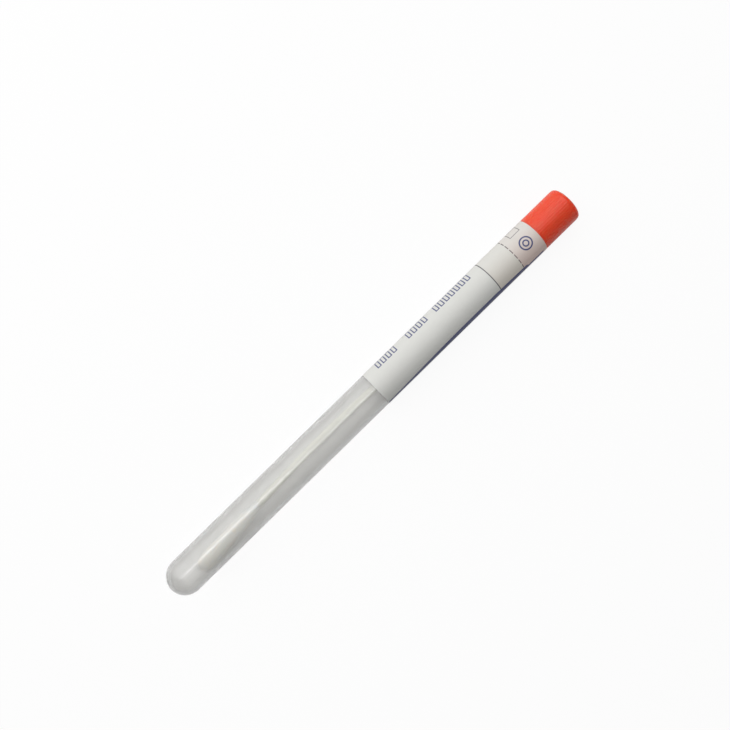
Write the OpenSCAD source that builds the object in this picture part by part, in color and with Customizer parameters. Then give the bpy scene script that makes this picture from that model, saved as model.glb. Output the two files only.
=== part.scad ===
// Specimen swab tube: a round-bottomed tube, closed by a plug cap that carries its swab.
// It lies on its side: +X runs along the axis to the cap, +Z is up, the origin is under its middle.
// Every piece is drawn upright on the axis, with "station" for the height above the round end.

/* [Tube] */
// Outside diameter of the tube
tube_d = 12.2; // [12.0:0.1:12.6]
// Length from the round end to the open mouth
tube_len = 150; // [140:1:160]
// Thickness of the wall at the mouth
tube_wall = 1.0; // [0.8:0.05:1.05]
// How much the bore narrows in radius from the mouth to the round end
bore_draft = 0.15; // [0:0.05:0.2]
// Chamfer that leads the plug into the mouth
mouth_chamfer = 0.3; // [0.1:0.05:0.4]
// Diameter of the shallow gate recess in the round end
gate_d = 2.2; // [1.5:0.1:3]

/* [Cap] */
// Length of the cap outside the tube
head_len = 25; // [22:1:28]
// Length of the smooth collar that the seal band is wrapped on
collar_len = 10; // [8:1:12]
// Diameter over the crests of the grip ribs
grip_d = 12.2; // [12.0:0.1:12.4]
// Number of grip ribs
rib_count = 48; // [36:4:60]
// Height of a grip rib
rib_height = 0.2; // [0.1:0.05:0.3]
// Rounding of the rim of the end face
rim_r = 1.2; // [0.8:0.1:1.6]
// Length of the plug inside the tube
plug_len = 10; // [8:1:12]
// Radial gap between the body of the plug and the mouth of the bore
plug_gap = 0.25; // [0.2:0.05:0.35]
// Radial gap between the sealing beads and the mouth of the bore
bead_gap = 0.06; // [0.05:0.01:0.08]
// Thickness of the plug's skirt
skirt_wall = 0.95; // [0.8:0.05:1.1]
// Diameter of the central post that holds the swab
post_d = 4.6; // [4.2:0.1:5]
// Thickness of the end plate
plate_t = 1.7; // [1.4:0.1:2.2]

/* [Swab] */
// Distance from the tube's round end to the end of the swab
swab_start = 10.4; // [8:0.2:12]
// Depth that the shaft's tail is pressed into the cap, from the end of the plug
socket_depth = 20.4; // [16:0.2:22]
// Diameter of the shaft
shaft_d = 2.56; // [2.3:0.02:2.8]
// Diameter of the shaft where the tip is wound on
neck_d = 2.3; // [2.1:0.05:2.4]
// Length of the wound tip
tip_len = 28; // [22:1:32]
// Largest diameter of the tip
tip_d = 5.8; // [5:0.1:5.9]
// Length of the shaft's first bend, below the plug
first_bend_len = 55; // [45:1:60]
// How far the first bend turns the shaft away from the side that the tip ends on
first_bend = 1.6; // [0.5:0.1:1.8]
// How far the second bend turns it back, as far as the tip
second_bend = 5.2; // [3:0.1:5.3]
// How far below the horizontal the second bend sinks
bend_roll = 15; // [0:1:18]

/* [Label] */
// Length of the label on the tube, below the tear line
label_len = 60; // [40:1:80]
// Thickness of the label paper
paper_t = 0.05; // [0.04:0.01:0.06]
// Width of the lapped seam, measured as an angle
lap_angle = 23; // [15:1:30]
// Where the seam starts, as an angle from the top toward the side the tip leans to
lap_start = 105; // [95:1:110]
// Number of cuts in the tear line
cut_count = 18; // [12:1:24]
// Height of a cut
cut_h = 0.25; // [0.15:0.05:0.4]
// Part of the pitch that a cut takes
cut_share = 0.8; // [0.6:0.05:0.85]

/* [Hidden] */

$fn = 96;
eps = 0.01;

tube_r = tube_d/2;
bore_r = tube_r - tube_wall;
bore_end_r = bore_r - bore_draft;
total_len = tube_len + head_len;
lying_h = tube_r + paper_t;

plug_start = tube_len - plug_len;
plug_r = bore_r - plug_gap;
bead_r = 0.3;
grip_r = grip_d/2;
grip_start = tube_len + collar_len;
grip_len = head_len - collar_len;
core_top = total_len - plate_t;
core_r = plug_r - skirt_wall;
web_t = 0.8;
web_start = tube_len + 5;
rib_root_r = grip_r - rib_height;
rib_start = 0.2;
rib_fade = 0.5;

shaft_r = shaft_d/2;
neck_r = neck_d/2;
tip_r = tip_d/2;
swab_tail = plug_start + socket_depth;
tail_chamfer = 0.9;
shaft_cover = 3.5;

// The shaft is straight in the socket, takes two slight bends, and is straight again to the
// tip. Each bend is a short arc of a wide circle, so the full circle has many fragments.
nose_len = 5;
straight_len = tip_len + 2;
second_bend_len = plug_start - swab_start - straight_len - first_bend_len;
bend_fragments = 4000;
bend_overlap = 0.5;

// Lays what is drawn upright on its side: local +Z becomes +X, local +X becomes up.
module lay_down() {
    translate([-total_len/2, 0, lying_h]) rotate([180, 0, 0]) rotate([0, 90, 0]) children();
}

// A cylinder between two stations.
module barrel(from, to, r) {
    translate([0, 0, from]) cylinder(h = to - from, r = r);
}

// A cone between two stations.
module cone(from, to, r_from, r_to) {
    translate([0, 0, from]) cylinder(h = to - from, r1 = r_from, r2 = r_to);
}

// Round-bottomed tube with a drafted bore, a chamfered mouth, and a shallow recess
// round the stub of the gate.
module tube() {
    rim = mouth_chamfer/2;
    gate_depth = gate_d*gate_d/(8*tube_r) + 0.2;
    color([0.82, 0.83, 0.82, 0.5]) lay_down() difference() {
        union() {
            translate([0, 0, tube_r]) sphere(r = tube_r);
            barrel(tube_r, tube_len - rim, tube_r);
            cone(tube_len - rim, tube_len, tube_r, tube_r - rim);
        }
        translate([0, 0, tube_r]) sphere(r = bore_end_r);
        cone(tube_r, tube_len, bore_end_r, bore_r);
        cone(tube_len - mouth_chamfer, tube_len + eps, bore_r, bore_r + mouth_chamfer + eps);
        difference() {
            barrel(-1, gate_depth, gate_d/2);
            barrel(-2, gate_depth + 1, gate_d/6);
        }
    }
}

// Outline of the grip ribs: flat crests with sloping flanks that run into the grip's body.
module rib_outline() {
    pitch = 360/rib_count;
    foot_r = rib_root_r - 0.15;
    corners = [[-0.15, grip_r], [0.15, grip_r], [0.4, foot_r], [0.6, foot_r]];
    polygon([for (i = [0 : rib_count - 1], p = corners) p[1]*[cos((i + p[0])*pitch), sin((i + p[0])*pitch)]]);
}

// Half section of a grip whose outer rim is rounded.
module rounded_rim_section(r, h, round_r) {
    square([r, h - round_r]);
    square([r - round_r, h]);
    translate([r - round_r, h - round_r]) intersection() {
        circle(r = round_r);
        square(round_r);
    }
}

// Grip with a rounded rim. Its ribs start a hair above the collar and fade out where the
// rounding starts.
module ribbed_grip() {
    rib_end = grip_len - rim_r;
    clear_r = grip_r + 0.1;
    translate([0, 0, grip_start]) {
        rotate_extrude() rounded_rim_section(rib_root_r, grip_len, rim_r);
        intersection() {
            translate([0, 0, rib_start]) linear_extrude(height = rib_end - rib_start) rib_outline();
            union() {
                barrel(0, rib_end - rib_fade, clear_r);
                cone(rib_end - rib_fade, rib_end, clear_r, rib_root_r - 0.05);
            }
        }
    }
}

// Plug with a tapered lead-in and two sealing beads.
module plug() {
    lead = 1;
    cone(plug_start, plug_start + lead, plug_r - lead*0.4, plug_r);
    barrel(plug_start + lead, tube_len, plug_r);
    for (share = [0.35, 0.72])
        translate([0, 0, plug_start + share*plug_len])
            rotate_extrude() translate([bore_r - bead_gap - bead_r, 0]) circle(r = bead_r);
}

// The hollow between the plug's skirt and the post, crossed by four webs in the head.
module core() {
    difference() {
        barrel(plug_start - 1, core_top, core_r);
        barrel(plug_start - 2, core_top + 1, post_d/2);
        for (turn = [0, 90])
            rotate([0, 0, turn]) translate([-core_r - 1, -web_t/2, web_start])
                cube([2*core_r + 2, web_t, core_top]);
    }
}

// One-piece plug cap: ribbed grip, collar, plug, and a post with the swab's socket.
module cap() {
    color([0.86, 0.24, 0.16]) lay_down() difference() {
        union() {
            ribbed_grip();
            barrel(tube_len, grip_start, tube_r);
            plug();
        }
        core();
        barrel(plug_start - 1, swab_tail, shaft_r);
        cone(plug_start - eps, plug_start + 0.5, shaft_r + 0.5 + eps, shaft_r);
    }
}

// Radius of a bend's centre line.
function bend_radius(len, angle) = len/angle*180/PI;

// Length of shaft along -Z from the origin that bends toward a side: 0 is +Y, 90 is -X.
// With an overlap, it starts that much before the origin.
module bend(len, angle, side, r, overlap = 0) {
    bend_r = bend_radius(len, angle);
    lead = overlap/bend_r*180/PI;
    rotate([0, 0, side]) translate([0, bend_r, 0]) rotate([-90, 0, 0]) rotate([0, 90, 0])
        rotate([0, 0, -lead]) rotate_extrude(angle = angle + lead, $fn = bend_fragments)
            translate([bend_r, 0]) circle(r = r, $fn = 48);
}

// Puts what is drawn along -Z from the origin at the end of such a bend.
module after_bend(len, angle, side) {
    bend_r = bend_radius(len, angle);
    rotate([0, 0, side]) translate([0, bend_r*(1 - cos(angle)), -bend_r*sin(angle)])
        rotate([angle, 0, 0]) rotate([0, 0, -side]) children();
}

module at_second_bend() {
    translate([0, 0, plug_start]) after_bend(first_bend_len, first_bend, 180) children();
}

module at_bend_end() {
    at_second_bend() after_bend(second_bend_len, second_bend, bend_roll) children();
}

// The straight length under the tip, tapered toward the end of the swab.
module shaft_taper() {
    mirror([0, 0, 1]) translate([0, 0, -bend_overlap])
        cylinder(h = straight_len + bend_overlap - shaft_cover, r1 = shaft_r - 2*eps, r2 = neck_r);
}

// Moulded stick: a chamfered tail in the socket, two slight bends, and a tapered neck.
// Each length starts inside the one before it, and is a hair thinner.
module swab_shaft() {
    color([0.83, 0.83, 0.76]) lay_down() {
        barrel(plug_start, swab_tail - tail_chamfer, shaft_r);
        cone(swab_tail - tail_chamfer, swab_tail, shaft_r, shaft_r - 0.4);
        translate([0, 0, plug_start]) bend(first_bend_len, first_bend, 180, shaft_r);
        at_second_bend() bend(second_bend_len, second_bend, bend_roll, shaft_r - eps, bend_overlap);
        at_bend_end() shaft_taper();
    }
}

// Radius of the wound tip at a distance from the end of the swab: a blunt nose,
// a long taper, and a hollow shoulder down to the shaft.
shoulder_start = tip_len - 6;
shoulder_r = 0.74*tip_r;
function nose_radius(d) = tip_r*pow(1 - pow(1 - d/nose_len, 2.5), 1/2.5);
function taper_radius(d) = tip_r - (tip_r - shoulder_r)*pow((d - nose_len)/(shoulder_start - nose_len), 1.3);
function shoulder_radius(d) =
    shaft_r + 0.06 + (shoulder_r - shaft_r - 0.06)*pow((tip_len - d)/(tip_len - shoulder_start), 1.6);
function tip_radius(d) =
    d < nose_len ? nose_radius(d) :
    d < shoulder_start ? taper_radius(d) : shoulder_radius(d);

// Stations close together on the nose, and one every millimetre beyond it.
nose_steps = 12;
tip_stations = concat(
    [for (i = [0 : nose_steps - 1]) nose_len*(1 - cos(90*i/nose_steps))],
    [for (d = [nose_len : 1 : tip_len]) d]);

// Wound fibre bud on the end of the shaft.
module swab_tip() {
    color([0.93, 0.92, 0.87]) lay_down() at_bend_end() difference() {
        translate([0, 0, -straight_len])
            rotate_extrude() polygon(concat([for (d = tip_stations) [tip_radius(d), d]], [[0, tip_len]]));
        shaft_taper();
    }
}

// Paper wrapped once round the axis between two stations, its end lapped over its start.
module wrapped_paper(from, to) {
    lap_end = lap_start + lap_angle;
    over_r = tube_r + 2*paper_t;
    translate([0, 0, from]) linear_extrude(height = to - from) {
        difference() {
            circle(r = tube_r + paper_t);
            circle(r = tube_r);
        }
        difference() {
            intersection() {
                circle(r = over_r);
                polygon([[0, 0], for (a = [lap_start, lap_end]) 2*over_r*[cos(a), sin(a)]]);
            }
            circle(r = tube_r);
        }
    }
}

// Label on the tube, from its lower edge up to the tear line at the mouth.
module label() {
    color([0.9, 0.9, 0.88]) lay_down() wrapped_paper(tube_len - label_len, tube_len);
}

// Strip of the same paper on the cap's collar; ties between the cuts held it to the label.
module seal_band() {
    pitch = 360/cut_count;
    color([0.9, 0.87, 0.85]) lay_down() difference() {
        wrapped_paper(tube_len, grip_start);
        for (i = [0 : cut_count - 1])
            rotate([0, 0, i*pitch]) translate([0, 0, tube_len])
                rotate_extrude(angle = cut_share*pitch) translate([tube_r - paper_t, -1])
                    square([4*paper_t, 1 + cut_h]);
    }
}

tube();
cap();
swab_shaft();
swab_tip();
label();
seal_band();
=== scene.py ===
"""Looks of a specimen swab tube: a frosted round-bottomed tube in a wrapped paper label, closed
by a ribbed plug cap that wears a band of the same paper and carries the swab."""

import math

import bmesh
import bpy
from mathutils import Matrix, Vector


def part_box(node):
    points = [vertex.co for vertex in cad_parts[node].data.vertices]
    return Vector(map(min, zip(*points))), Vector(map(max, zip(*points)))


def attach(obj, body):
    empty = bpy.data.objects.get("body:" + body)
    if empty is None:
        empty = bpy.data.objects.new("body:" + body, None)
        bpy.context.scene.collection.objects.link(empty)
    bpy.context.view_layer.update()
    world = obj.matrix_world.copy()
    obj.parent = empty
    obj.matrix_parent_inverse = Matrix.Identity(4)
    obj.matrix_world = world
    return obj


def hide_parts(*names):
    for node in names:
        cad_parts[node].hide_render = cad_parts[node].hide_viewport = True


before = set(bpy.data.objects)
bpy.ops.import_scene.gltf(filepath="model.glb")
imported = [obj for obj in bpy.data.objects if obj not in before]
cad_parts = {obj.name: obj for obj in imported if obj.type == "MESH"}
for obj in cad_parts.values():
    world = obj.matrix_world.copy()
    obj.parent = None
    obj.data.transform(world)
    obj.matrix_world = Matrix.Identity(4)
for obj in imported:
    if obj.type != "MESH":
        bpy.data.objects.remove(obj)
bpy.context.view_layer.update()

bl_info = {
    "name": "Specimen Swab Tube",
    "version": (1, 0, 0),
    "blender": (4, 5, 0),
    "location": "View3D > Sidebar > Swab Tube",
    "description": "Builds a capped specimen tube with its swab, label and seal band",
    "category": "Add Mesh",
}

MM = 0.001

# Lengths and radii are millimetres. A place on the tube is given by its station, which is its
# distance from the round end toward the cap, its radius, and its turn in degrees from the top
# toward the side that the swab leans to.
TUBE_LOW, TUBE_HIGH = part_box("tube")
CAP_LOW, CAP_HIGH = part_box("cap")
LABEL_LOW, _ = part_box("label")
_, BAND_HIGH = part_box("seal_band")
ROUND_END_X = TUBE_LOW.x
AXIS_Z = (TUBE_LOW.z + TUBE_HIGH.z) / 2


def at(station, radius=0.0, turn=0.0):
    """Place at a station, radius and turn."""
    t = math.radians(turn)
    x = ROUND_END_X + station * MM
    return Vector((x, -radius * MM * math.sin(t), AXIS_Z + radius * MM * math.cos(t)))


def station_of(co):
    return (co.x - ROUND_END_X) / MM


def radius_of(co):
    return math.hypot(co.y, co.z - AXIS_Z) / MM


def turn_of(co):
    return math.degrees(math.atan2(-co.y, co.z - AXIS_Z))


def set_polar(vert, radius, turn):
    """Moves a vertex to another radius and turn at its own station."""
    vert.co = at(station_of(vert.co), radius, turn)


MOUTH = round(station_of(TUBE_HIGH), 3)
PLUG_END = round(station_of(CAP_LOW), 3)
CAP_TOP = round(station_of(CAP_HIGH), 3)
LABEL_START = round(station_of(LABEL_LOW), 3)
BAND_END = round(station_of(BAND_HIGH), 3)
TUBE_R = round((TUBE_HIGH.z - TUBE_LOW.z) / 2 / MM, 3)

MOUTH_WALL, BORE_DRAFT = 1.0, 0.15
BORE_MOUTH_R = TUBE_R - MOUTH_WALL
BORE_END_R = BORE_MOUTH_R - BORE_DRAFT
LEAD_IN, PLUG_LEN = 0.3, 10.0

PAPER_T, PAPER_GAP = 0.05, 0.004
LAP_START, LAP_ANGLE = 105.0, 23.0
CUT_COUNT, CUT_SHARE, CUT_HEIGHT = 18, 0.8, 0.04

RIB_COUNT, RIB_STEPS = 48, 10
RIB_ROOT, RIB_CREST = 6.05, 6.1
RIB_START, RIB_RISE, RIB_FADE = 0.2, 0.08, 0.5

STICK_R, NECK_R, SOCKET_DEPTH = 1.28, 1.15, 20.4
SOCKET_END = PLUG_END + SOCKET_DEPTH
# A bend is a length, an angle in degrees, and the side that the stick bends toward. The tip's
# side lies a little below the horizontal.
TIP_DROP = math.radians(15)
FIRST_BEND = (55.0, 1.6, (0.0, 1.0, 0.0))
SECOND_BEND = (44.6, 5.2, (0.0, -math.cos(TIP_DROP), -math.sin(TIP_DROP)))
STRAIGHT_LEN, TIP_LEN, TIP_R = 30.0, 28.0, 2.9


# ---- Shaping helpers ----


def draw_to(bm, vert, place):
    """Draws one edge from a vertex to a place, and gives the new vertex."""
    vert = bmesh.ops.extrude_vert_indiv(bm, verts=[vert])["verts"][0]
    vert.co = place
    return vert


def verts_in(geom):
    return [g for g in geom if isinstance(g, bmesh.types.BMVert)]


def edges_in(geom):
    return [g for g in geom if isinstance(g, bmesh.types.BMEdge)]


def trace(bm, start, moves):
    """Draws an outline in the half plane above the axis. A move of two numbers is a line to a
    station and radius; one of four is an arc about a centre, turned by degrees in steps."""
    vert = bm.verts.new(at(*start))
    for move in moves:
        if len(move) == 2:
            vert = draw_to(bm, vert, at(*move))
        else:
            station, radius, degrees, steps = move
            made = bmesh.ops.spin(
                bm,
                geom=[vert],
                cent=at(station, radius),
                axis=(0, 1, 0),
                angle=math.radians(degrees),
                steps=steps,
            )
            vert = verts_in(made["geom_last"])[0]


def turn_solid(bm, centre, steps):
    """Spins the outline once round an axis along X, and closes the seam and the poles."""
    bmesh.ops.spin(
        bm,
        geom=bm.verts[:] + bm.edges[:],
        cent=centre,
        axis=(1, 0, 0),
        angle=2 * math.pi,
        steps=steps,
        use_merge=True,
    )
    bmesh.ops.remove_doubles(bm, verts=bm.verts, dist=1e-7)
    bmesh.ops.recalc_face_normals(bm, faces=bm.faces)


def finish_piece(bm, name, body, stands_for, material, sharp=35.0):
    """Makes the object of a finished bmesh, smooth up to an angle, and hangs it on its body."""
    limit = math.radians(sharp)
    for face in bm.faces:
        face.smooth = True
    for edge in bm.edges:
        edge.smooth = edge.calc_face_angle(0.0) < limit
    mesh = bpy.data.meshes.new(name)
    bm.to_mesh(mesh)
    bm.free()
    mesh.materials.append(material)
    piece = bpy.data.objects.new(name, mesh)
    bpy.context.scene.collection.objects.link(piece)
    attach(piece, body)
    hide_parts(*stands_for)
    return piece


# ---- Material helpers ----


class NodeSheet:
    """Short words for building one node tree."""

    def __init__(self, tree):
        self.tree = tree

    def add(self, kind, inputs=None, **settings):
        node = self.tree.nodes.new(kind)
        for key, value in settings.items():
            setattr(node, key, value)
        for key, value in (inputs or {}).items():
            self.feed(node.inputs[key], value)
        return node

    def feed(self, socket, value):
        if isinstance(value, bpy.types.NodeSocket):
            self.tree.links.new(value, socket)
        else:
            socket.default_value = value

    def math(self, operation, *values):
        node = self.add("ShaderNodeMath", operation=operation)
        for socket, value in zip(node.inputs, values):
            self.feed(socket, value)
        return node.outputs[0]

    def span(self, value, low, high, to_low=0.0, to_high=1.0):
        """Clamped ramp of a value from one range to another."""
        keys = ("Value", "From Min", "From Max", "To Min", "To Max")
        node = self.add("ShaderNodeMapRange", dict(zip(keys, (value, low, high, to_low, to_high))))
        return node.outputs[0]

    def between(self, value, low, high, soft):
        """1 where a value lies between two limits."""
        rise = self.span(value, low - soft, low + soft)
        fall = self.span(value, high - soft, high + soft, 1.0, 0.0)
        return self.math("MULTIPLY", rise, fall)

    def mix(self, share, first, second, blend="MIX"):
        """Mix of two colours, which are sockets 6 and 7 of the node and come out at socket 2."""
        node = self.add("ShaderNodeMix", data_type="RGBA", blend_type=blend)
        self.feed(node.inputs[0], share)
        self.feed(node.inputs[6], first)
        self.feed(node.inputs[7], second)
        return node.outputs[2]

    def noise(self, vector, scale, detail, roughness=0.5):
        node = self.add(
            "ShaderNodeTexNoise",
            {"Vector": vector, "Scale": scale, "Detail": detail, "Roughness": roughness},
        )
        return node.outputs["Fac"]

    def stretch(self, vector, scale):
        node = self.add("ShaderNodeMapping", {"Vector": vector, "Scale": scale})
        return node.outputs[0]

    def choose(self, share, first, second, out):
        """Gives the material output the first shader, and the second one by its share."""
        either = self.add("ShaderNodeMixShader", {0: share})
        self.tree.links.new(first.outputs[0], either.inputs[1])
        self.tree.links.new(second.outputs[0], either.inputs[2])
        self.tree.links.new(either.outputs[0], out.inputs["Surface"])


def new_group(name, inputs, outputs):
    """Node group with named sockets: inputs as (name, type, default), outputs as (name, type)."""
    tree = bpy.data.node_groups.new(name, "ShaderNodeTree")
    for label, kind, value in inputs:
        socket = tree.interface.new_socket(label, in_out="INPUT", socket_type=kind)
        socket.default_value = value
    for label, kind in outputs:
        tree.interface.new_socket(label, in_out="OUTPUT", socket_type=kind)
    sheet = NodeSheet(tree)
    return sheet, tree.nodes.new("NodeGroupInput"), tree.nodes.new("NodeGroupOutput")


def place_group(sheet, name, inputs=None):
    node = sheet.add("ShaderNodeGroup", node_tree=bpy.data.node_groups[name])
    for key, value in (inputs or {}).items():
        sheet.feed(node.inputs[key], value)
    return node


FLOAT = "NodeSocketFloat"


def build_wrap_coordinates():
    """Station in millimetres, and arc length in millimetres from the top toward the swab's side."""
    sheet, _, out = new_group("wrap_coordinates", [], [("Along", FLOAT), ("Around", FLOAT)])
    place = sheet.add("ShaderNodeTexCoord").outputs["Object"]
    xyz = sheet.add("ShaderNodeSeparateXYZ", {0: place}).outputs
    along = sheet.math("MULTIPLY", sheet.math("SUBTRACT", xyz[0], ROUND_END_X), 1 / MM)
    side = sheet.math("MULTIPLY", xyz[1], -1.0)
    turn = sheet.math("ARCTAN2", side, sheet.math("SUBTRACT", xyz[2], AXIS_Z))
    sheet.feed(out.inputs["Along"], along)
    sheet.feed(out.inputs["Around"], sheet.math("MULTIPLY", turn, TUBE_R))


def build_print_block():
    """Soft-edged rectangle of ink."""
    names = ("Along", "Around", "Centre Along", "Centre Around", "Half Length", "Half Width")
    sheet, given, out = new_group(
        "print_block",
        [(name, FLOAT, 0.0) for name in names] + [("Softness", FLOAT, 0.08)],
        [("Mask", FLOAT)],
    )
    sides = []
    for value, centre, half in (names[0::2], names[1::2]):
        away = sheet.math("SUBTRACT", given.outputs[value], given.outputs[centre])
        inside = sheet.math("SUBTRACT", given.outputs[half], sheet.math("ABSOLUTE", away))
        shade = sheet.math("DIVIDE", inside, given.outputs["Softness"])
        sides.append(sheet.span(shade, -0.5, 0.5))
    sheet.feed(out.inputs["Mask"], sheet.math("MULTIPLY", *sides))


def build_moulded_surface():
    """Fine orange peel, flow marks along the tube and a scatter of rub marks."""
    sheet, given, out = new_group(
        "moulded_surface",
        [("Grain Size", FLOAT, 0.5), ("Flow", FLOAT, 0.5)],
        [("Height", FLOAT), ("Shade", FLOAT), ("Rub", FLOAT)],
    )
    flow_scale, shade_scale, rub_scale = 900.0, 90.0, 1500.0
    place = sheet.add("ShaderNodeTexCoord").outputs["Object"]
    grain_scale = sheet.math("DIVIDE", 1 / MM, given.outputs["Grain Size"])
    grain = sheet.noise(place, grain_scale, 2.0)
    flow = sheet.noise(sheet.stretch(place, (0.06, 1.0, 1.0)), flow_scale, 3.0, 0.6)
    flow_part = sheet.math("MULTIPLY", flow, given.outputs["Flow"])
    sheet.feed(out.inputs["Height"], sheet.math("ADD", grain, flow_part))
    sheet.feed(out.inputs["Shade"], sheet.noise(place, shade_scale, 4.0, 0.55))
    rubs = sheet.noise(sheet.stretch(place, (0.25, 1.0, 1.0)), rub_scale, 5.0, 0.75)
    sheet.feed(out.inputs["Rub"], sheet.span(rubs, 0.62, 0.72))


def build_paper_fibre():
    """Formation of thin paper: soft clouds and fine crossing fibres."""
    sheet, given, out = new_group(
        "paper_fibre", [("Fibre Length", FLOAT, 1.0)], [("Height", FLOAT), ("Cloud", FLOAT)]
    )
    wrap = place_group(sheet, "wrap_coordinates").outputs
    flat = sheet.add("ShaderNodeCombineXYZ", {"X": wrap["Along"], "Y": wrap["Around"]}).outputs[0]
    scale = sheet.math("DIVIDE", 1.0, given.outputs["Fibre Length"])
    long_way = sheet.noise(sheet.stretch(flat, (2.0, 9.0, 1.0)), scale, 4.0, 0.6)
    cross_way = sheet.noise(sheet.stretch(flat, (9.0, 2.5, 1.0)), scale, 4.0, 0.6)
    sheet.feed(out.inputs["Height"], sheet.math("MULTIPLY", long_way, cross_way))
    sheet.feed(out.inputs["Cloud"], sheet.noise(flat, 0.7, 5.0, 0.65))


def new_material(name):
    material = bpy.data.materials.new(name)
    material.use_nodes = True
    tree = material.node_tree
    tree.nodes.clear()
    sheet = NodeSheet(tree)
    shader = sheet.add("ShaderNodeBsdfPrincipled")
    out = sheet.add("ShaderNodeOutputMaterial")
    tree.links.new(shader.outputs[0], out.inputs["Surface"])
    return material, sheet, shader, out


# Full height of each surface's relief, in metres.
MOULDED_RELIEF, STICK_RELIEF = 0.0000008, 0.00001
FIBRE_RELIEF, PAPER_RELIEF = 0.00016, 0.00002


def add_bump(sheet, shader, height, distance):
    """Gives a shader a relief of the given full height."""
    bump = sheet.add("ShaderNodeBump", {"Height": height, "Distance": distance, "Strength": 1.0})
    sheet.feed(shader.inputs["Normal"], bump.outputs[0])


def set_shader(shader, **values):
    for key, value in values.items():
        shader.inputs[key.replace("_", " ")].default_value = value


def shade_of(colour, share):
    """The same colour, opaque and darker."""
    return [c * share for c in colour[:3]] + [1.0]


def frosted_plastic(settings):
    """Hazy polypropylene with a smooth skin. Lamps shine through it on what it holds."""
    material, sheet, shader, out = new_material("frosted_polypropylene")
    skin = place_group(sheet, "moulded_surface", {"Grain Size": 6.0, "Flow": 0.15}).outputs
    tint, haze, haze_spread = settings.tube_colour, settings.tube_haze, 0.03
    base = sheet.mix(skin["Shade"], shade_of(tint, 0.95), list(tint))
    sheet.feed(shader.inputs["Base Color"], base)
    hazy = sheet.span(skin["Shade"], 0.3, 0.7, haze - haze_spread, haze + haze_spread)
    sheet.feed(shader.inputs["Roughness"], hazy)
    set_shader(
        shader,
        IOR=1.49,
        Transmission_Weight=0.8,
        Coat_Weight=0.14,
        Coat_Roughness=0.05,
        Specular_IOR_Level=0.05,
    )
    add_bump(sheet, shader, skin["Height"], MOULDED_RELIEF)
    clear = sheet.add("ShaderNodeBsdfTransparent", {"Color": (1.0, 1.0, 1.0, 1.0)})
    lamps = sheet.add("ShaderNodeLightPath").outputs["Is Shadow Ray"]
    sheet.choose(lamps, shader, clear, out)
    return material


def cap_plastic(settings):
    """Glossy moulded polyethylene."""
    material, sheet, shader, _ = new_material("cap_polyethylene")
    skin = place_group(sheet, "moulded_surface", {"Grain Size": 2.5, "Flow": 0.8}).outputs
    colour = settings.cap_colour
    base = sheet.mix(skin["Shade"], shade_of(colour, 0.92), list(colour))
    pale = [min(1.0, c * 1.05 + 0.01) for c in colour[:3]] + [1.0]
    base = sheet.mix(sheet.math("MULTIPLY", skin["Rub"], 0.03), base, pale)
    sheet.feed(shader.inputs["Base Color"], base)
    gloss = sheet.span(skin["Shade"], 0.3, 0.7, 0.32, 0.4)
    worn = sheet.math("ADD", gloss, sheet.math("MULTIPLY", skin["Rub"], 0.04))
    sheet.feed(shader.inputs["Roughness"], worn)
    set_shader(
        shader,
        IOR=1.5,
        Specular_IOR_Level=0.3,
        Coat_Weight=0.1,
        Coat_Roughness=0.2,
        Subsurface_Weight=1.0,
        Subsurface_Scale=0.0025,
        Subsurface_Radius=(1.0, 0.2, 0.12),
    )
    add_bump(sheet, shader, skin["Height"], MOULDED_RELIEF)
    return material


def stick_plastic(settings):
    """Satin moulded stick."""
    material, sheet, shader, _ = new_material("stick_polystyrene")
    skin = place_group(sheet, "moulded_surface", {"Grain Size": 0.4, "Flow": 1.2}).outputs
    colour = settings.stick_colour
    base = sheet.mix(skin["Shade"], shade_of(colour, 0.93), list(colour))
    sheet.feed(shader.inputs["Base Color"], base)
    sheet.feed(shader.inputs["Roughness"], sheet.span(skin["Shade"], 0.3, 0.7, 0.36, 0.46))
    set_shader(shader, IOR=1.55)
    add_bump(sheet, shader, skin["Height"], STICK_RELIEF)
    return material


def wound_fibre(settings):
    """Soft wound fibre: fine threads lie round the tip, crossed by looser ones."""
    material, sheet, shader, _ = new_material("wound_fibre")
    thread_scale, cross_scale, clump_scale = 9000.0, 5000.0, 700.0
    place = sheet.add("ShaderNodeTexCoord").outputs["Object"]
    threads = sheet.noise(sheet.stretch(place, (1.0, 0.14, 0.14)), thread_scale, 4.0, 0.7)
    crossed = sheet.noise(sheet.stretch(place, (0.3, 1.0, 0.35)), cross_scale, 4.0, 0.7)
    clumps = sheet.noise(place, clump_scale, 3.0, 0.6)
    height = sheet.math("ADD", threads, sheet.math("MULTIPLY", crossed, 0.6))
    colour = settings.fibre_colour
    # Painted shade: the low parts of the winding, between the threads, get a darker copy of the
    # fibre colour. The clumps darken it at random as well.
    shade = shade_of(colour, 0.86)
    base = sheet.mix(sheet.span(height, 0.6, 0.85), shade, list(colour))
    base = sheet.mix(sheet.math("MULTIPLY", clumps, 0.15), base, shade)
    sheet.feed(shader.inputs["Base Color"], base)
    set_shader(
        shader,
        Roughness=0.95,
        Specular_IOR_Level=0.2,
        Sheen_Weight=0.2,
        Sheen_Roughness=0.6,
        Subsurface_Weight=1.0,
        Subsurface_Scale=0.004,
        Subsurface_Radius=(1.0, 0.9, 0.8),
    )
    sum_height = sheet.math("ADD", height, sheet.math("MULTIPLY", clumps, 1.5))
    add_bump(sheet, shader, sum_height, FIBRE_RELIEF)
    return material


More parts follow.
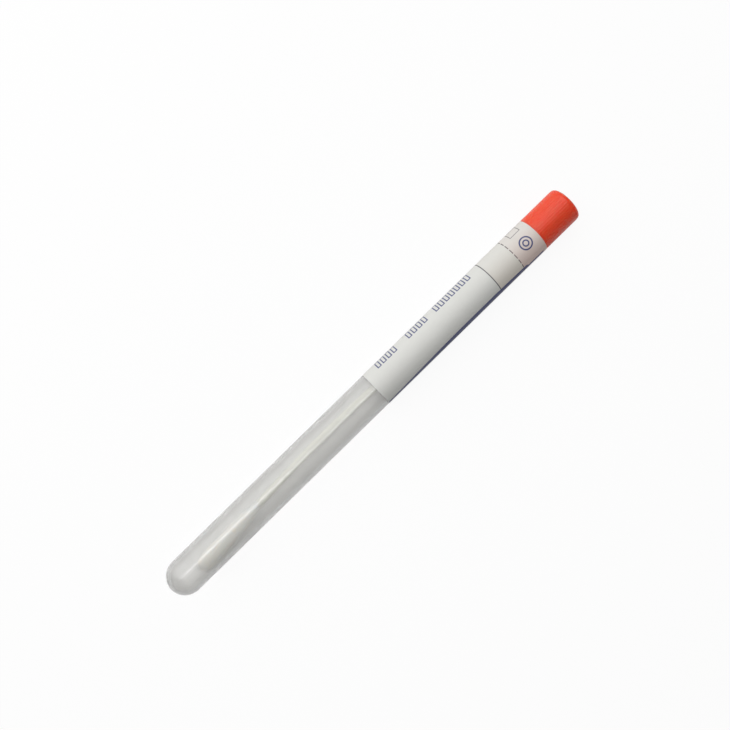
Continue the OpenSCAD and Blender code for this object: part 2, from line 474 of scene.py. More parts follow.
# The print: stations and lengths in millimetres, turns in degrees. A row of boxes is its start
# and its count, and a frame on the band is two stations and two turns.
BOX_ROWS, ROW_TURN, ROW_HALF_TURN = ((94.6, 4), (108.0, 4), (120.0, 7)), -60.0, 20.0
BOX_PITCH, BOX_HALF_LENGTH, BOX_HALF_WIDTH, BOX_LINE = 2.27, 0.8, 1.8, 0.36
RULE_STATION, RULE_WIDTH = 140.0, 0.3
FRAME_OUTER = (153.0, 157.2, -80.0, -44.5)
FRAME_INNER = (153.24, 156.96, -77.7, -46.8)
RING_STATION, RING_RADII = 155.2, ((1.8, 2.27), (0.7, 1.15))
STRIPE_SWELL_START, STRIPE_SWELL_END, STRIPE_SWELL = 88.0, 124.0, 16.0
STRIPE_TURN, STRIPE_TURN_AT_TEAR, STRIPE_STEP_PAST_TEAR = 53.0, 57.0, 8.5
SLANT_START, SLANT_END, STRIPE_END = 138.0, 151.0, 158.5
PALE_LINE_TURNS, STRIPE_FADE_TURNS = (76.0, 84.0), (104.0, 105.0)


class LabelPrint:
    """Draws the print of the label and its seal band on one node sheet, as masks from 0 to 1."""

    def __init__(self, sheet):
        self.sheet = sheet
        wrap = place_group(sheet, "wrap_coordinates").outputs
        self.along, self.around = wrap["Along"], wrap["Around"]
        self.arc = math.radians(1.0) * TUBE_R

    def block(self, start, end, low_turn, high_turn):
        """Filled rectangle between two stations and two turns."""
        sizes = {
            "Along": self.along,
            "Around": self.around,
            "Centre Along": (start + end) / 2,
            "Centre Around": (low_turn + high_turn) / 2 * self.arc,
            "Half Length": (end - start) / 2,
            "Half Width": (high_turn - low_turn) / 2 * self.arc,
        }
        return place_group(self.sheet, "print_block", sizes).outputs[0]

    def box_row(self, start, count):
        """Row of small outlined boxes."""
        sheet, pitch, line = self.sheet, BOX_PITCH, BOX_LINE
        off_row = sheet.math("ABSOLUTE", sheet.math("SUBTRACT", self.around, ROW_TURN * self.arc))
        past_side = sheet.math("SUBTRACT", off_row, BOX_HALF_WIDTH - line / 2)
        cell = sheet.math("DIVIDE", sheet.math("SUBTRACT", self.along, start), pitch)
        off_cell = sheet.math("SUBTRACT", sheet.math("FRACT", cell), 0.5)
        off_cell = sheet.math("MULTIPLY", sheet.math("ABSOLUTE", off_cell), pitch)
        past_end = sheet.math("SUBTRACT", off_cell, BOX_HALF_LENGTH - line / 2)
        past = sheet.math("ABSOLUTE", sheet.math("MAXIMUM", past_end, past_side))
        outline = sheet.span(past, line / 2 - 0.05, line / 2 + 0.05, 1.0, 0.0)
        turns = (ROW_TURN - ROW_HALF_TURN, ROW_TURN + ROW_HALF_TURN)
        row = self.block(start, start + count * pitch, *turns)
        return sheet.math("MULTIPLY", row, outline)

    def rule(self):
        """Thin rule round the label, before the tear line."""
        half, last_turn = RULE_WIDTH / 2, STRIPE_FADE_TURNS[0]
        return self.block(RULE_STATION - half, RULE_STATION + half, -180.0, last_turn)

    def tear_dashes(self):
        """A dash over every cut of the tear line."""
        sheet = self.sheet
        pitch = math.radians(360.0 / CUT_COUNT) * TUBE_R
        turns = sheet.math("ADD", sheet.math("DIVIDE", self.around, pitch), CUT_COUNT)
        dash = sheet.between(sheet.math("FRACT", turns), 0.02, CUT_SHARE - 0.02, 0.015)
        return sheet.math("MULTIPLY", dash, self.block(MOUTH - 0.1, MOUTH + 0.16, -180.0, 180.0))

    def band_frame(self):
        """Outlined box on the seal band."""
        box = self.sheet.math("SUBTRACT", self.block(*FRAME_OUTER), self.block(*FRAME_INNER))
        return self.sheet.math("MULTIPLY", box, 0.8)

    def band_rings(self):
        """Two rings on the seal band, one in the other."""
        sheet = self.sheet
        off_ring = sheet.math("SUBTRACT", self.along, RING_STATION)
        squares = [sheet.math("POWER", side, 2.0) for side in (off_ring, self.around)]
        away = sheet.math("SQRT", sheet.math("ADD", *squares))
        return [sheet.between(away, low, high, 0.05) for low, high in RING_RADII]

    def stripe(self):
        """Lengthwise stripe. It widens toward the tear line, is narrower past it, and holds a
        paler line."""
        sheet, arc = self.sheet, self.arc
        swell = sheet.span(self.along, STRIPE_SWELL_START, STRIPE_SWELL_END, 1.0, 0.0)
        edge = sheet.math("MULTIPLY", sheet.math("POWER", swell, 1.6), STRIPE_SWELL)
        past_tear = sheet.span(self.along, MOUTH + 1.2, MOUTH + 2.0)
        step = sheet.math("MULTIPLY", past_tear, STRIPE_STEP_PAST_TEAR)
        ends = (STRIPE_TURN, STRIPE_TURN_AT_TEAR)
        slant = sheet.span(self.along, SLANT_START, SLANT_END, *ends)
        edge = sheet.math("ADD", sheet.math("ADD", edge, step), slant)
        into = sheet.math("SUBTRACT", self.around, sheet.math("MULTIPLY", edge, arc))
        field = sheet.span(into, -0.04, 0.04)
        pale_line = sheet.between(self.around, *[turn * arc for turn in PALE_LINE_TURNS], 0.1)
        field = sheet.math("SUBTRACT", field, sheet.math("MULTIPLY", pale_line, 0.6))
        fade = [turn * arc for turn in STRIPE_FADE_TURNS]
        sideways = sheet.span(self.around, *fade, 1.0, 0.0)
        lengthwise = sheet.span(self.along, STRIPE_END - 0.1, STRIPE_END + 0.1, 1.0, 0.0)
        return sheet.math("MULTIPLY", field, sheet.math("MULTIPLY", sideways, lengthwise))


def build_label_ink():
    """All the print of the label and its seal band: plain shapes, and thin lines apart."""
    sheet, _, out = new_group("label_ink", [], [("Mask", FLOAT), ("Lines", FLOAT)])
    ink = LabelPrint(sheet)
    shapes = [ink.box_row(start, count) for start, count in BOX_ROWS]
    shapes += ink.band_rings() + [ink.stripe()]
    lines = [ink.rule(), ink.tear_dashes(), ink.band_frame()]
    for name, parts in (("Mask", shapes), ("Lines", lines)):
        total = parts[0]
        for mask in parts[1:]:
            total = sheet.math("MAXIMUM", total, mask)
        sheet.feed(out.inputs[name], total)


def label_paper(settings):
    """Thin white paper with dark blue print and grey rules. Over the red plug and the collar a pink
    glow is painted on it, stronger on the shaded side, for the cap's red light coming through the
    paper."""
    known = bpy.data.materials.get("printed_paper")
    if known:
        return known
    material, sheet, shader, _ = new_material("printed_paper")
    wrap = place_group(sheet, "wrap_coordinates").outputs
    fibre = place_group(sheet, "paper_fibre", {"Fibre Length": 1.0}).outputs
    paper = settings.paper_colour
    base = sheet.mix(fibre["Cloud"], shade_of(paper, 0.96), list(paper))
    # Painted glow: over the plug and the collar the paper is tinted pink, more on the shaded side
    # away from the key lamp, for red light from the cap coming through the paper.
    painted_plug_glow, painted_collar_glow = (1.0, 0.93, 0.87, 1.0), (1.0, 0.85, 0.86, 1.0)
    plug_start = MOUTH - PLUG_LEN
    over_plug = sheet.span(wrap["Along"], plug_start - 0.3, plug_start + 0.3)
    over_collar = sheet.span(wrap["Along"], MOUTH - 0.1, MOUTH + 0.2)
    shaded_side_share = sheet.span(wrap["Around"], -4.3, 4.8, 0.2, 0.9)
    for over, tint in ((over_plug, painted_plug_glow), (over_collar, painted_collar_glow)):
        base = sheet.mix(sheet.math("MULTIPLY", over, shaded_side_share), base, tint, "MULTIPLY")
    ink = place_group(sheet, "label_ink").outputs
    patchy = sheet.span(fibre["Height"], 0.1, 0.35, 0.9, 0.98)
    lines = sheet.math("MULTIPLY", ink["Lines"], patchy)
    base = sheet.mix(lines, base, list(settings.line_colour))
    shapes = sheet.math("MULTIPLY", ink["Mask"], patchy)
    base = sheet.mix(shapes, base, list(settings.ink_colour))
    sheet.feed(shader.inputs["Base Color"], base)
    sheet.feed(shader.inputs["Roughness"], sheet.span(ink["Mask"], 0.0, 1.0, 0.62, 0.48))
    set_shader(shader, IOR=1.45, Specular_IOR_Level=0.4)
    add_bump(sheet, shader, fibre["Height"], PAPER_RELIEF)
    return material


# ---- Pieces ----


def bore_radius(station):
    """Radius of the drafted bore, which narrows from the mouth to the round end."""
    return BORE_END_R + BORE_DRAFT * (station - TUBE_R) / (MOUTH - LEAD_IN - TUBE_R)


def make_tube(settings):
    """Round-bottomed shell with a drafted bore, a rounded rim, and the gate's recess and stub."""
    bm = bmesh.new()
    gate_r, gate_floor, gate_edge = 1.1, 0.3, 0.06
    stub_r, stub_end, stub_edge = 0.37, 0.08, 0.1
    rim_r = 0.15
    gate_angle = math.asin(gate_r / TUBE_R)
    rings = (40.0, 75.0, 110.0)
    trace(
        bm,
        (stub_end, 0.0),
        [
            (stub_end, stub_r - stub_edge),
            (stub_end + 0.04, stub_r),
            (gate_floor, stub_r + 0.05),
            (gate_floor, gate_r - gate_edge),
            (gate_floor - gate_edge, gate_r),
            (TUBE_R * (1 - math.cos(gate_angle)), gate_r),
            (TUBE_R, 0.0, 90.0 - math.degrees(gate_angle), 30),
            *[(station, TUBE_R) for station in rings],
            (MOUTH - rim_r, TUBE_R),
            (MOUTH - rim_r, TUBE_R - rim_r, 90.0, 4),
            (MOUTH, BORE_MOUTH_R + LEAD_IN),
            (MOUTH - LEAD_IN, BORE_MOUTH_R),
            (MOUTH - PLUG_LEN, bore_radius(MOUTH - PLUG_LEN)),
            *[(station, bore_radius(station)) for station in reversed(rings)],
            (TUBE_R, BORE_END_R),
            (TUBE_R, 0.0, -90.0, 30),
        ],
    )
    turn_solid(bm, at(0), settings.tube_steps)
    return finish_piece(
        bm, "tube_shell", "tube", ["tube"], frosted_plastic(settings)
    )


def raise_ribs(bm, grip_start, rib_end):
    """Lifts the grip's rings into low rounded ribs, which start sharply and fade at the rim."""
    for vert in bm.verts:
        station, radius = station_of(vert.co), radius_of(vert.co)
        if station < grip_start or abs(radius - RIB_ROOT) > 0.01:
            continue
        turn = turn_of(vert.co)
        height = (1 + math.cos(math.radians(turn) * RIB_COUNT)) / 2
        rise = min(1.0, max(0.0, (station - grip_start - RIB_START) / RIB_RISE))
        fade = min(1.0, max(0.0, (rib_end - station) / RIB_FADE))
        set_polar(vert, radius + (RIB_CREST - RIB_ROOT) * height * rise * fade, turn)


def add_webs(bm, start, end, inner_r, outer_r):
    """Four flat webs between two radii, a quarter turn apart, which run into what they join."""
    thickness = 0.8
    for quarter in range(4):
        web = bmesh.ops.create_cube(bm, size=MM)["verts"]
        bmesh.ops.scale(bm, vec=(end - start, thickness, outer_r - inner_r), verts=web)
        middle = at((start + end) / 2, (inner_r + outer_r) / 2)
        bmesh.ops.translate(bm, vec=middle, verts=web)
        quarter_turn = Matrix.Rotation(math.radians(90 * quarter), 3, "X")
        bmesh.ops.rotate(bm, cent=at(0), matrix=quarter_turn, verts=web)


def bead_moves(plug_r):
    """The plug's two sealing beads, as moves of its outline. They stop short of the bore."""
    bead_r, clearance = 0.3, 0.06
    centre = BORE_MOUTH_R - clearance - bead_r
    half_chord = math.sqrt(bead_r**2 - (plug_r - centre) ** 2)
    arc = 2 * math.degrees(math.asin(half_chord / bead_r))
    moves = []
    for share in (0.35, 0.72):
        station = PLUG_END + share * PLUG_LEN
        moves += [(station - half_chord, plug_r), (station, centre, arc, 6)]
    return moves


def make_cap(settings):
    """One-piece plug cap: ribbed grip with a rounded rim and a gate's recess, collar, beaded
    plug, and the post that holds the stick, joined to the plug's wall by four webs."""
    bm = bmesh.new()
    plug_r, core_r, post_r = 4.85, 3.9, 2.3
    core_top, web_start = CAP_TOP - 1.7, MOUTH + 5.0
    grip_start, rim_r, edge, fillet = BAND_END, 1.2, 0.05, 0.3
    socket_lead, post_edge, core_edge, nose_len = 0.5, 0.1, 0.12, 1.0
    rib_end = CAP_TOP - rim_r
    recess_floor, gate_end = CAP_TOP - 0.15, CAP_TOP - 0.03
    trace(
        bm,
        (SOCKET_END, 0.0),
        [
            (SOCKET_END, STICK_R),
            (PLUG_END + socket_lead, STICK_R),
            (PLUG_END, STICK_R + socket_lead),
            (PLUG_END, post_r - post_edge),
            (PLUG_END + post_edge, post_r),
            (core_top - fillet, post_r),
            (core_top, post_r + fillet),
            (core_top, core_r - fillet),
            (core_top - fillet, core_r),
            (PLUG_END + core_edge, core_r),
            (PLUG_END, core_r + core_edge),
            (PLUG_END, plug_r - 0.5),
            (PLUG_END + 0.1, plug_r - 0.36),
            (PLUG_END + nose_len, plug_r),
            *bead_moves(plug_r),
            (MOUTH - 0.1, plug_r),
            (MOUTH, plug_r + 0.1),
            (MOUTH, TUBE_R - edge),
            (MOUTH + edge, TUBE_R),
            (grip_start - edge, TUBE_R),
            (grip_start, TUBE_R - edge),
            (grip_start, RIB_ROOT),
            (grip_start + RIB_START, RIB_ROOT),
            (grip_start + RIB_START + RIB_RISE / 2, RIB_ROOT),
            (grip_start + RIB_START + RIB_RISE, RIB_ROOT),
            (grip_start + 3.5, RIB_ROOT),
            (grip_start + 7.0, RIB_ROOT),
            (grip_start + 10.5, RIB_ROOT),
            (rib_end - RIB_FADE, RIB_ROOT),
            (rib_end - RIB_FADE / 2, RIB_ROOT),
            (rib_end, RIB_ROOT),
            (rib_end, RIB_ROOT - rim_r, 90.0, 8),
            (CAP_TOP, 1.5),
            (CAP_TOP - 0.12, 1.3),
            (recess_floor, 1.1),
            (recess_floor, 0.5),
            (gate_end - 0.02, 0.4),
            (gate_end, 0.3),
            (gate_end, 0.0),
        ],
    )
    turn_solid(bm, at(0), RIB_COUNT * RIB_STEPS)
    raise_ribs(bm, grip_start, rib_end)
    add_webs(bm, web_start, core_top + 0.2, post_r - 0.1, core_r + 0.1)
    return finish_piece(bm, "plug_cap", "cap", ["cap"], cap_plastic(settings), 40.0)


def wrap_paper(bm, stations):
    """Sheet that goes once round the tube and laps over its own start, one step a degree. Gives
    the layer that holds each vertex's step."""
    ring_r, full_turn, lap_rise = TUBE_R + PAPER_GAP, 360, 3.0
    layer = bm.verts.layers.int.new("step")
    vert = bm.verts.new(at(stations[0], ring_r, LAP_START))
    for station in stations[1:]:
        vert = draw_to(bm, vert, at(station, ring_r, LAP_START))
    edges = bm.edges[:]
    for step in range(1, full_turn + int(LAP_ANGLE) + 1):
        made = bmesh.ops.extrude_edge_only(bm, edges=edges)["geom"]
        edges = edges_in(made)
        over = min(1.0, max(0.0, (step - full_turn + lap_rise) / lap_rise))
        over = over * over * (3 - 2 * over)
        for v in verts_in(made):
            v.co = at(station_of(v.co), ring_r + over * PAPER_T, LAP_START + step)
            v[layer] = step
    return layer


def thicken_paper(bm):
    """Gives the sheet its thickness, outward from the tube."""
    made = bmesh.ops.extrude_face_region(bm, geom=bm.faces[:], use_keep_orig=True)
    for vert in verts_in(made["geom"]):
        radius = radius_of(vert.co) + PAPER_T - 2 * PAPER_GAP
        set_polar(vert, radius, turn_of(vert.co))
    bmesh.ops.recalc_face_normals(bm, faces=bm.faces)


def make_label(settings):
    """Paper label, wrapped once round the tube from its lower edge up to the tear line."""
    bm = bmesh.new()
    wrap_paper(bm, [LABEL_START, LABEL_START + 20, LABEL_START + 40, MOUTH])
    thicken_paper(bm)
    return finish_piece(
        bm, "wrapped_label", "tube", ["label"], label_paper(settings)
    )


def make_seal_band(settings):
    """Band of the same paper on the cap's collar, cut free of the label but for narrow ties."""
    bm = bmesh.new()
    layer = wrap_paper(bm, [MOUTH, MOUTH + CUT_HEIGHT, BAND_END - 3.0, BAND_END])
    pitch = 360 // CUT_COUNT
    cuts = []
    for face in bm.faces:
        if face.calc_center_median().x > at(MOUTH + CUT_HEIGHT).x:
            continue
        first = min(v[layer] for v in face.verts) + LAP_START
        if first % pitch < CUT_SHARE * pitch - 0.5:
            cuts.append(face)
    bmesh.ops.delete(bm, geom=cuts, context="FACES")
    thicken_paper(bm)
    return finish_piece(
        bm, "paper_seal_band", "cap", ["seal_band"], label_paper(settings)
    )


def bend_matrix(bend):
    """Motion along one bend of the stick, which heads down the tube from the origin."""
    length, degrees, side = bend
    toward, heading = Vector(side), Vector((-1, 0, 0))
    centre = toward * (length / math.radians(degrees)) * MM
    turn = Matrix.Rotation(math.radians(degrees), 4, heading.cross(toward))
    return Matrix.Translation(centre) @ turn @ Matrix.Translation(-centre)


def extend_ring(bm, ring, step, scale=1.0):
    """Extrudes the ring's edges along a step, about its own centre for the scale."""
    made = bmesh.ops.extrude_edge_only(bm, edges=ring)["geom"]
    verts = verts_in(made)
    bmesh.ops.translate(bm, vec=step, verts=verts)
    centre = sum((v.co for v in verts), Vector()) / len(verts)
    if scale != 1.0:
        for v in verts:
            v.co = centre + (v.co - centre) * scale
    return edges_in(made)


def spin_ring(bm, ring, start, bend, steps):
    """Spins the ring through one bend."""
    length, degrees, side = bend
    turned = start.to_3x3()
    toward, heading = turned @ Vector(side), turned @ Vector((-1, 0, 0))
    verts = {v for e in ring for v in e.verts}
    made = bmesh.ops.spin(
        bm,
        geom=list(verts) + ring,
        cent=start.translation + toward * (length / math.radians(degrees)) * MM,
        axis=heading.cross(toward),
        angle=math.radians(degrees),
        steps=steps,
    )
    return edges_in(made["geom_last"])


def make_stick(settings):
    """Moulded stick: chamfered tail, two slight bends, and a neck that tapers into the tip."""
    bm = bmesh.new()
    tail_share, chamfer, socket_gap = 0.7, 0.9, 0.01
    tail_r = (STICK_R - socket_gap) * MM * tail_share
    tail = bmesh.ops.create_circle(bm, cap_ends=True, segments=48, radius=tail_r)["verts"]
    quarter_turn = Matrix.Rotation(math.radians(90), 3, "Y")
    bmesh.ops.rotate(bm, cent=(0, 0, 0), matrix=quarter_turn, verts=tail)
    bmesh.ops.translate(bm, vec=at(SOCKET_END), verts=tail)
    ring = [e for e in bm.edges if e.is_boundary]
    heading = Vector((-MM, 0, 0))
    ring = extend_ring(bm, ring, heading * chamfer, 1 / tail_share)
    ring = extend_ring(bm, ring, heading * (SOCKET_END - PLUG_END - chamfer))
    start = Matrix.Translation(at(PLUG_END))
    ring = spin_ring(bm, ring, start, FIRST_BEND, 24)
    middle = start @ bend_matrix(FIRST_BEND)
    ring = spin_ring(bm, ring, middle, SECOND_BEND, 36)
    end = middle @ bend_matrix(SECOND_BEND)
    neck_steps, fibre_past_stick = 6, 3.5
    step = end.to_3x3() @ heading * ((STRAIGHT_LEN - fibre_past_stick) / neck_steps)
    for _ in range(neck_steps):
        ring = extend_ring(bm, ring, step, (NECK_R / STICK_R) ** (1 / neck_steps))
    bmesh.ops.contextual_create(bm, geom=ring)
    bmesh.ops.recalc_face_normals(bm, faces=bm.faces)
    return finish_piece(
        bm, "swab_stick", "cap", ["swab_shaft"], stick_plastic(settings)
    )


def tip_radius(d):
    """Radius of the wound tip at a distance from the end of the swab."""
    nose, shoulder = 5.0, TIP_LEN - 6.0
    shoulder_r, cuff_r = 0.74 * TIP_R, STICK_R + 0.06
    if d < nose:
        return TIP_R * (1 - (1 - d / nose) ** 2.5) ** 0.4
    if d < shoulder:
        return TIP_R - (TIP_R - shoulder_r) * ((d - nose) / (shoulder - nose)) ** 1.3
    share = (TIP_LEN - d) / (TIP_LEN - shoulder)
    return cuff_r + (shoulder_r - cuff_r) * share**1.6


def wind_fibre(bm):
    """Sinks the tip's surface between the turns of its winding, its strands and its lumps."""
    pitch, turn_depth, lump_depth, strand_depth = 1.1, 0.014, 0.04, 0.016
    for vert in bm.verts:
        d, radius = vert.co.x / MM, math.hypot(vert.co.y, vert.co.z)
        if radius < 0.2 * MM or d > TIP_LEN - 0.3:
            continue
        turn = math.atan2(vert.co.y, vert.co.z)
        turns = math.sin(turn + d * 2 * math.pi / pitch)
        lumps = math.sin(3 * turn + d * 0.9) * math.sin(2 * turn - d * 0.55 + 1.0)
        strands = math.sin(7 * turn - d * 5.1 + 2 * math.sin(d))
        sink = turn_depth * (turns - 1) + lump_depth * (lumps - 1) + strand_depth * (strands - 1)
        ease = min(1.0, d / 1.5, (TIP_LEN - d) / 2.0)
        scale = 1 + sink * ease * MM / radius
        vert.co.y *= scale
        vert.co.z *= scale


def make_tip(settings):
    """Wound fibre bud, closed over the end of the stick."""
    bm = bmesh.new()
    nose_rings, ring_gap, ring_count = [0.02, 0.08, 0.18, 0.32, 0.5, 0.75, 1.05, 1.4], 0.2, 132
    rings = nose_rings + [nose_rings[-1] + ring_gap * i for i in range(1, ring_count + 1)]
    outline = [(d, tip_radius(d)) for d in rings]
    outline += [(TIP_LEN, STICK_R - 0.1), (TIP_LEN - 1.0, 0.0)]
    vert = bm.verts.new((0.0, 0.0, 0.0))
    for d, radius in outline:
        vert = draw_to(bm, vert, Vector((d, 0.0, radius)) * MM)
    turn_solid(bm, (0, 0, 0), 96)
    wind_fibre(bm)
    down = Matrix.Translation(at(PLUG_END)) @ bend_matrix(FIRST_BEND) @ bend_matrix(SECOND_BEND)
    swab_end = down @ Matrix.Translation((-STRAIGHT_LEN * MM, 0, 0))
    bmesh.ops.transform(bm, matrix=swab_end, verts=bm.verts)
    return finish_piece(
        bm, "fibre_tip", "cap", ["swab_tip"], wound_fibre(settings), 80.0
    )


# ---- Stage ----


def add_softbox(name, place, aim, size, power):
    """Rectangular lamp that faces a point. It isn't seen itself, directly or through plastic."""
    data = bpy.data.lights.new(name, "AREA")
    data.shape = "RECTANGLE"
    data.size, data.size_y = size
    data.energy = power
    lamp = bpy.data.objects.new(name, data)
    bpy.context.scene.collection.objects.link(lamp)
    lamp.location = place
    lamp.rotation_euler = (Vector(aim) - Vector(place)).to_track_quat("-Z", "Y").to_euler()
    lamp.visible_camera = False
    lamp.visible_transmission = False


def floor_white():
    """Matt white that takes a light shadow. To the camera most of it is a flat white glow, and all
    of it is far from the tube. Rays that glance off the pieces or go through them see less."""
    material, sheet, shader, out = new_material("floor_white")
    near, far, near_glow, indirect_glow = 0.15, 1.0, 0.92, 0.3
    set_shader(shader, Base_Color=(0.9, 0.9, 0.9, 1.0), Roughness=0.9, Specular_IOR_Level=0.0)
    glow = sheet.add("ShaderNodeEmission", {"Color": (1.0, 1.0, 1.0, 1.0), "Strength": 1.0})
    rays = sheet.add("ShaderNodeLightPath").outputs
    mirrored = sheet.math("MULTIPLY", rays["Is Glossy Ray"], indirect_glow)
    through = sheet.math("MULTIPLY", rays["Is Transmission Ray"], indirect_glow)
    seen = sheet.math("MAXIMUM", rays["Is Camera Ray"], sheet.math("MAXIMUM", mirrored, through))
    place = sheet.add("ShaderNodeTexCoord").outputs["Object"]
    away = sheet.add("ShaderNodeVectorMath", {0: place}, operation="LENGTH").outputs["Value"]
    share = sheet.math("MULTIPLY", seen, sheet.span(away, near, far, near_glow, 1.0))
    sheet.choose(share, shader, glow, out)
    return material


def make_floor():
    """Wide flat floor under the tube."""
    half_width = 3.0
    bm = bmesh.new()
    bmesh.ops.create_grid(bm, x_segments=1, y_segments=1, size=half_width)
    mesh = bpy.data.meshes.new("floor")
    bm.to_mesh(mesh)
    bm.free()
    mesh.materials.append(floor_white())
    floor = bpy.data.objects.new("floor", mesh)
    bpy.context.scene.collection.objects.link(floor)


def make_world(strength):
    """White surroundings, at full strength to the camera alone."""
    world = bpy.data.worlds.new("studio")
    world.use_nodes = True
    tree = world.node_tree
    tree.nodes.clear()
    sheet = NodeSheet(tree)
    rays = sheet.add("ShaderNodeLightPath").outputs
    level = sheet.span(rays["Is Camera Ray"], 0.0, 1.0, strength, 1.0)
    back = sheet.add("ShaderNodeBackground", {"Color": (1.0, 1.0, 1.0, 1.0), "Strength": level})
    out = sheet.add("ShaderNodeOutputWorld")
    tree.links.new(back.outputs[0], out.inputs["Surface"])
    bpy.context.scene.world = world


def make_camera():
    """Camera above the tube, a little out of plumb and rolled so that the tube lies aslant."""
    place, tilt_degrees, roll_degrees = (-0.0012, 0.0079, 0.2917), -1.312, -44.37
    data = bpy.data.cameras.new("camera")
    data.sensor_width, data.lens = 36.0, 44.4
    data.clip_start, data.clip_end = 0.01, 20.0
    camera = bpy.data.objects.new("camera", data)
    bpy.context.scene.collection.objects.link(camera)
    tilt = Matrix.Rotation(math.radians(tilt_degrees), 4, "Y")
    roll = Matrix.Rotation(math.radians(roll_degrees), 4, "Z")
    camera.matrix_world = Matrix.Translation(place) @ tilt @ roll
    return camera


def make_stage(settings):
    """Floor, soft lamps, world and the camera that looks down on the tube."""
    scene = bpy.context.scene
    make_floor()
    make_world(settings.world_level)
    middle = (0, 0, 0)
    add_softbox("key_softbox", (0.0, 0.417, 0.432), middle, (0.9, 0.74), settings.key_power)
    add_softbox("top_strip", (0.0, 0.084, 0.6), middle, (0.58, 0.09), settings.strip_power)
    scene.camera = make_camera()
    scene.view_settings.view_transform = "Standard"


# ---- Add-on ----


def colour_property(name, description, default):
    return bpy.props.FloatVectorProperty(
        name=name,
        description=description,
        subtype="COLOR",
        size=4,
        min=0.0,
        max=1.0,
        default=(*default, 1.0),
    )


class SwabTubeSettings(bpy.types.PropertyGroup):
    """Sizes and colours that a user would change."""

    tube_steps: bpy.props.IntProperty(
        name="Tube steps", description="Faces round the tube", default=160, min=32, max=256
    )
    tube_colour: colour_property("Tube", "Colour of the frosted tube", (0.785, 0.783, 0.769))
    tube_haze: bpy.props.FloatProperty(
        name="Haze", description="Roughness of the tube's plastic", default=0.2, min=0.1, max=0.8
    )
    cap_colour: colour_property("Cap", "Colour of the plug cap", (0.85, 0.08, 0.028))
    paper_colour: colour_property("Paper", "Colour of the label paper", (0.69, 0.69, 0.66))
    line_colour: colour_property("Rules", "Colour of the thin rules", (0.065, 0.062, 0.075))
    ink_colour: colour_property("Ink", "Colour of the print", (0.032, 0.045, 0.17))
    stick_colour: colour_property("Stick", "Colour of the swab's stick", (0.82, 0.82, 0.72))
    fibre_colour: colour_property("Fibre", "Colour of the wound tip", (0.94, 0.915, 0.855))


class StageSettings(bpy.types.PropertyGroup):
    """Light of the studio."""

    world_level: bpy.props.FloatProperty(
        name="World",
        description="Strength of the surrounding light",
        default=0.18,
        min=0.0,
        max=2.0,
    )
    key_power: bpy.props.FloatProperty(
        name="Key",
        description="Power of the large softbox",
        subtype="POWER",
        default=3.6,
        min=0.0,
    )
    strip_power: bpy.props.FloatProperty(
        name="Strip",
        description="Power of the overhead strip",
        subtype="POWER",
        default=1.0,
        min=0.0,
    )


class PieceOperator:
    """Shared body of the operators that build one piece."""

    bl_options = {"REGISTER", "UNDO"}
    build = None

    def execute(self, context):
        type(self).build(context.scene.swab_tube)
        return {"FINISHED"}


class SWABTUBE_OT_tube(PieceOperator, bpy.types.Operator):
    """Build the frosted round-bottomed tube"""

    bl_idname = "swab_tube.tube"
    bl_label = "Tube"
    build = staticmethod(make_tube)


class SWABTUBE_OT_label(PieceOperator, bpy.types.Operator):
    """Build the printed label wrapped on the tube"""

    bl_idname = "swab_tube.label"
    bl_label = "Label"
    build = staticmethod(make_label)


class SWABTUBE_OT_cap(PieceOperator, bpy.types.Operator):
    """Build the ribbed plug cap"""

    bl_idname = "swab_tube.cap"
    bl_label = "Cap"
    build = staticmethod(make_cap)


class SWABTUBE_OT_seal_band(PieceOperator, bpy.types.Operator):
    """Build the paper band on the cap's collar"""

    bl_idname = "swab_tube.seal_band"
    bl_label = "Seal band"
    build = staticmethod(make_seal_band)


class SWABTUBE_OT_stick(PieceOperator, bpy.types.Operator):
    """Build the swab's moulded stick"""

    bl_idname = "swab_tube.stick"
    bl_label = "Stick"
    build = staticmethod(make_stick)


class SWABTUBE_OT_tip(PieceOperator, bpy.types.Operator):
    """Build the swab's wound fibre tip"""

    bl_idname = "swab_tube.tip"
    bl_label = "Tip"
    build = staticmethod(make_tip)


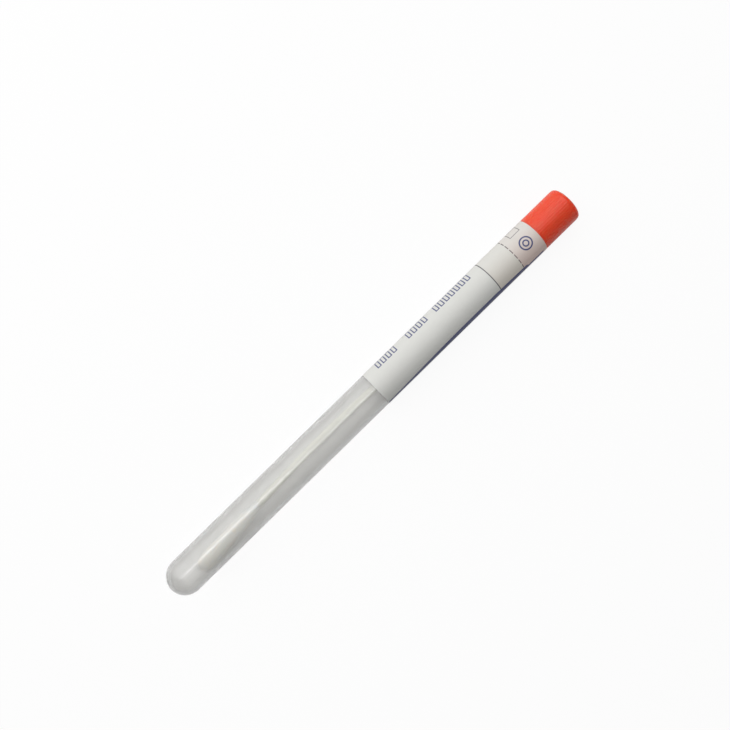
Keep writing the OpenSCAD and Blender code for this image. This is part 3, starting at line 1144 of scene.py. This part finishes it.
class SWABTUBE_OT_stage(bpy.types.Operator):
    """Build the floor, the lamps, the world and the camera"""

    bl_idname = "swab_tube.stage"
    bl_label = "Stage"
    bl_options = {"REGISTER", "UNDO"}

    def execute(self, context):
        make_stage(context.scene.swab_stage)
        return {"FINISHED"}


OPERATORS = (
    SWABTUBE_OT_stage,
    SWABTUBE_OT_tube,
    SWABTUBE_OT_label,
    SWABTUBE_OT_cap,
    SWABTUBE_OT_seal_band,
    SWABTUBE_OT_stick,
    SWABTUBE_OT_tip,
)


class SWABTUBE_PT_panel(bpy.types.Panel):
    """Settings and pieces of the swab tube"""

    bl_label = "Swab Tube"
    bl_idname = "SWABTUBE_PT_panel"
    bl_space_type = "VIEW_3D"
    bl_region_type = "UI"
    bl_category = "Swab Tube"

    def draw(self, context):
        for group in (context.scene.swab_tube, context.scene.swab_stage):
            for name in group.bl_rna.properties.keys():
                if name not in ("rna_type", "name"):
                    self.layout.prop(group, name)
        for operator in OPERATORS:
            self.layout.operator(operator.bl_idname)


CLASSES = (SwabTubeSettings, StageSettings, *OPERATORS, SWABTUBE_PT_panel)
GROUP_BUILDERS = (
    build_wrap_coordinates,
    build_print_block,
    build_moulded_surface,
    build_paper_fibre,
    build_label_ink,
)


def register():
    for cls in CLASSES:
        bpy.utils.register_class(cls)
    bpy.types.Scene.swab_tube = bpy.props.PointerProperty(type=SwabTubeSettings)
    bpy.types.Scene.swab_stage = bpy.props.PointerProperty(type=StageSettings)


def unregister():
    del bpy.types.Scene.swab_stage
    del bpy.types.Scene.swab_tube
    for cls in reversed(CLASSES):
        bpy.utils.unregister_class(cls)


def clear_default_objects():
    for name in ("Cube", "Light", "Camera"):
        found = bpy.data.objects.get(name)
        if found:
            bpy.data.objects.remove(found)


def main():
    register()
    clear_default_objects()
    for build in GROUP_BUILDERS:
        build()
    bpy.ops.swab_tube.stage()
    bpy.ops.swab_tube.tube()
    bpy.ops.swab_tube.label()
    bpy.ops.swab_tube.cap()
    bpy.ops.swab_tube.seal_band()
    bpy.ops.swab_tube.stick()
    bpy.ops.swab_tube.tip()


if __name__ == "__main__":
    main()
